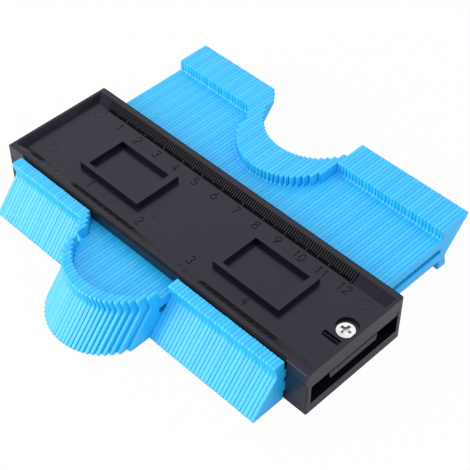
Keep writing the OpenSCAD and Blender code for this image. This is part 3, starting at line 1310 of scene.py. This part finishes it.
@dataclass
class Studio:
    """Plain pale floor, white surround and soft light."""

    floor_half: float = 3.0
    floor_colour: Colour = (0.76, 0.76, 0.76)
    floor_white: float = 0.97
    floor_mirrored: float = 0.1
    dome: float = 1.0
    front_mirrored: float = 0.4
    front_span: Pair = (-0.5, 0.35)
    key_power: float = 5.0
    key_size: float = 0.6
    key_place: Triple = (-0.5, -0.84, 0.36)

    def build(self) -> None:
        """Sets the view transform and makes the floor, the surround and the lamp."""
        bpy.context.scene.view_settings.view_transform = "Standard"
        self.build_floor()
        self.build_surround()
        self.build_key()

    def seen(
        self, tools: NodeTools, straight: float, mirrored: float
    ) -> tuple[bpy.types.NodeSocket, bpy.types.NodeSocket]:
        """Masks of the rays that show the background.

        Args:
            tools: Tools for the tree that shows it.
            straight: Value for the rays that come straight from the camera.
            mirrored: Value for the rays that come off a gloss or through glass.

        Returns:
            The two masks' sockets.
        """
        path = tools.add("ShaderNodeLightPath")
        other = tools.larger(path.outputs["Is Glossy Ray"], path.outputs["Is Transmission Ray"])
        return (
            tools.remap(path.outputs["Is Camera Ray"], (0.0, straight)),
            tools.remap(other, (0.0, mirrored)),
        )

    def build_floor(self) -> None:
        """Makes the floor, white to the eye but still taking the object's shadow."""
        half = self.floor_half
        corners = np.array([[-half, -half, 0.0], [half, -half, 0.0], [half, half, 0.0], [-half, half, 0.0]])
        material = bpy.data.materials.new("pale_floor")
        material.use_nodes = True
        tools = NodeTools(material.node_tree)
        material.node_tree.nodes.remove(material.node_tree.nodes["Principled BSDF"])
        plain = tools.add("ShaderNodeBsdfDiffuse")
        plain.inputs["Color"].default_value = (*self.floor_colour, 1.0)
        white = tools.add("ShaderNodeEmission")
        blend = tools.add("ShaderNodeMixShader")
        share = tools.larger(*self.seen(tools, self.floor_white, self.floor_mirrored))
        tools.join(share, blend.inputs[0])
        tools.join(plain.outputs["BSDF"], blend.inputs[1])
        tools.join(white.outputs["Emission"], blend.inputs[2])
        tools.join(blend.outputs["Shader"], material.node_tree.nodes["Material Output"].inputs["Surface"])
        floor = add_piece("studio_floor", corners, [np.array([[0, 1, 2, 3]])], material)

    def build_surround(self) -> None:
        """Makes the surround: white where it is seen, and a soft dome of light elsewhere.

        In gloss it falls off towards the front, as a studio that is open there.
        """
        world = bpy.data.worlds.new("white_surround")
        bpy.context.scene.world = world
        world.use_nodes = True
        tools = NodeTools(world.node_tree)
        background = world.node_tree.nodes["Background"]
        background.inputs["Color"].default_value = (1.0, 1.0, 1.0, 1.0)
        straight, mirrored = self.seen(tools, 1.0, 1.0)
        parts = tools.add("ShaderNodeSeparateXYZ")
        tools.join(tools.add("ShaderNodeTexCoord").outputs["Generated"], parts.inputs["Vector"])
        front = tools.remap(parts.outputs["Y"], (self.front_mirrored, 1.0), self.front_span)
        glossy = tools.add("ShaderNodeMix", data_type="FLOAT")
        glossy.inputs["A"].default_value = self.dome
        tools.join(mirrored, glossy.inputs["Factor"])
        tools.join(front, glossy.inputs["B"])
        strength = tools.larger(straight, glossy.outputs["Result"])
        tools.join(strength, background.inputs["Strength"])

    def build_key(self) -> None:
        """Makes one broad soft lamp, in front and above."""
        data = bpy.data.lights.new("key_lamp", "AREA")
        data.energy = self.key_power
        data.size = self.key_size
        lamp = bpy.data.objects.new("key_lamp", data)
        lamp.location = self.key_place
        lamp.rotation_euler = (-Vector(self.key_place)).to_track_quat("-Z", "Y").to_euler()
        bpy.context.scene.collection.objects.link(lamp)


def main() -> None:
    """Builds the scene in order: camera, studio, finishes, shells, slats, screw, scales and small marks."""
    logging.basicConfig(level=logging.INFO, format="%(name)s: %(message)s")
    PhotoCamera().build()
    Studio().build()
    effects = SharedEffects()
    effects.build_grain()
    effects.build_scuffs()
    finishes = (SHELL_FINISH, PAINTED_SHADE_FINISH, MARK_AND_SHADE_FINISH, PAINTED_HIGHLIGHT_FINISH)
    shell, dark_painted_shade, mark_and_painted_shade, painted_highlight_rib = (finish.build() for finish in finishes)
    Shells(shell, GUIDE_FINISH.build()).dress()
    SlatRow(SLAT_FINISH.build()).build()
    Screw(SCREW_FINISH.build()).build()
    tray = Tray()
    metric_zero, inch_zero = -64.2 * MM, -64.5 * MM
    metric = Scale(
        "millimetre",
        side=1,
        zero=metric_zero,
        spacing=MM,
        count=121,
        levels=(5, 10),
        starts=(0.28, 0.15, 0.03),
    )
    inches = Scale(
        "inch",
        side=-1,
        zero=inch_zero,
        spacing=INCH / 16,
        count=77,
        levels=(2, 8, 16),
        starts=(0.75, 0.38, 0.2, 0.03),
        ground_end=0.7,
        ground_parts=((0.0, 0.035), (0.185, 0.43), (0.715, 0.985)),
    )
    # Painted shade under both scales, painted shadows beside the inch ribs, and ribs in the painted
    # highlight finish.
    metric.build_ground(tray, dark_painted_shade)
    inches.build_ground(tray, mark_and_painted_shade)
    inches.build_lines(tray, mark_and_painted_shade)
    for scale in (metric, inches):
        scale.build_ribs(tray, painted_highlight_rib)
    Numerals("centimetre_numerals", metric_zero, 10 * MM, last=12, middle_y=13.6 * MM).build(tray, mark_and_painted_shade)
    Numerals("inch_numerals", inch_zero, INCH, last=4, middle_y=-13.1 * MM).build(tray, mark_and_painted_shade)
    EjectorMarks().build(tray, shell)
    Seam().build(mark_and_painted_shade)
    MouldSlot().build(tray, shell, dark_painted_shade)
    Shoulders().build(SHOULDER_SHADE_FINISH.build())


if __name__ == "__main__":
    main()
